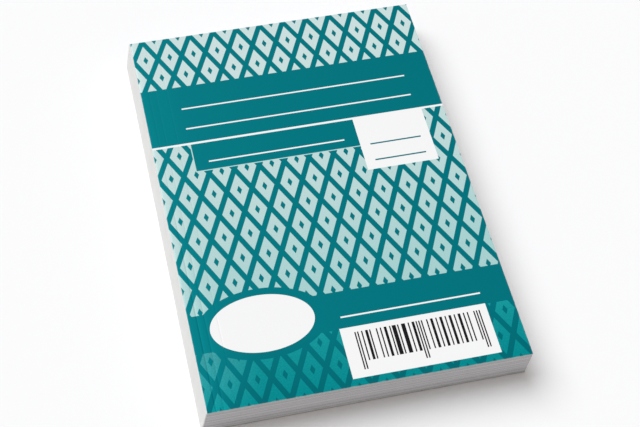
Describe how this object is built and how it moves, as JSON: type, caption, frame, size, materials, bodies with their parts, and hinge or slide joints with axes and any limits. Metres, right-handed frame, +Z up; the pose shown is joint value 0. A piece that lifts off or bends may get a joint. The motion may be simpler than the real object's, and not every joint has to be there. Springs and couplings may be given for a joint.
{
  "type": "receipt book",
  "caption": "Small glued pad of tear-off receipt leaves with a scored card cover that folds back on its left-hand edge, a chipboard back and a glued spine.",
  "frame": {"origin": "on the table under the middle of the closed pad, its leaning spine and glue film included", "axes": "+X from the glued spine to the free edge, +Y from the foot of the leaves to their head, +Z up through the cover"},
  "size_m": [0.0754, 0.105, 0.0094],
  "materials": {
    "printed_card": "offset printed, satin varnish",
    "leaf_paper": "uncoated printing paper",
    "chipboard": "raw grey board",
    "padding_glue": "dried white glue film"
  },
  "bodies": {
    "pad": {"cover_glued_strip": "printed_card", "leaves_11_20": "leaf_paper", "leaves_21_30": "leaf_paper", "leaves_31_40": "leaf_paper", "leaves_41_50": "leaf_paper", "leaves_51_60": "leaf_paper", "leaves_61_70": "leaf_paper", "leaves_71_80": "leaf_paper", "leaves_81_90": "leaf_paper", "leaves_91_100": "leaf_paper", "back_board": "chipboard", "spine_glue": "padding_glue"},
    "cover": {"front_cover": "printed_card"},
    "leaf_01": {"leaf_01": "leaf_paper"},
    "leaf_02": {"leaf_02": "leaf_paper"},
    "leaf_03": {"leaf_03": "leaf_paper"},
    "leaf_04": {"leaf_04": "leaf_paper"},
    "leaf_05": {"leaf_05": "leaf_paper"},
    "leaf_06": {"leaf_06": "leaf_paper"},
    "leaf_07": {"leaf_07": "leaf_paper"},
    "leaf_08": {"leaf_08": "leaf_paper"},
    "leaf_09": {"leaf_09": "leaf_paper"},
    "leaf_10": {"leaf_10": "leaf_paper"}
  },
  "joints": [
    {"name": "cover_fold", "type": "hinge", "parent": "pad", "child": "cover", "pos_m": [-0.0343, 0, 0.0094], "axis": [0, -1, 0], "range_deg": [0, 178]},
    {"name": "leaf_01_tear_off", "type": "slide", "parent": "pad", "child": "leaf_01", "axis": [1, 0, 0], "range_m": [0, 0.035]},
    {"name": "leaf_02_tear_off", "type": "slide", "parent": "pad", "child": "leaf_02", "axis": [1, 0, 0], "range_m": [0, 0.035]},
    {"name": "leaf_03_tear_off", "type": "slide", "parent": "pad", "child": "leaf_03", "axis": [1, 0, 0], "range_m": [0, 0.035]},
    {"name": "leaf_04_tear_off", "type": "slide", "parent": "pad", "child": "leaf_04", "axis": [1, 0, 0], "range_m": [0, 0.035]},
    {"name": "leaf_05_tear_off", "type": "slide", "parent": "pad", "child": "leaf_05", "axis": [1, 0, 0], "range_m": [0, 0.035]},
    {"name": "leaf_06_tear_off", "type": "slide", "parent": "pad", "child": "leaf_06", "axis": [1, 0, 0], "range_m": [0, 0.035]},
    {"name": "leaf_07_tear_off", "type": "slide", "parent": "pad", "child": "leaf_07", "axis": [1, 0, 0], "range_m": [0, 0.035]},
    {"name": "leaf_08_tear_off", "type": "slide", "parent": "pad", "child": "leaf_08", "axis": [1, 0, 0], "range_m": [0, 0.035]},
    {"name": "leaf_09_tear_off", "type": "slide", "parent": "pad", "child": "leaf_09", "axis": [1, 0, 0], "range_m": [0, 0.035]},
    {"name": "leaf_10_tear_off", "type": "slide", "parent": "pad", "child": "leaf_10", "axis": [1, 0, 0], "range_m": [0, 0.035]}
  ]
}
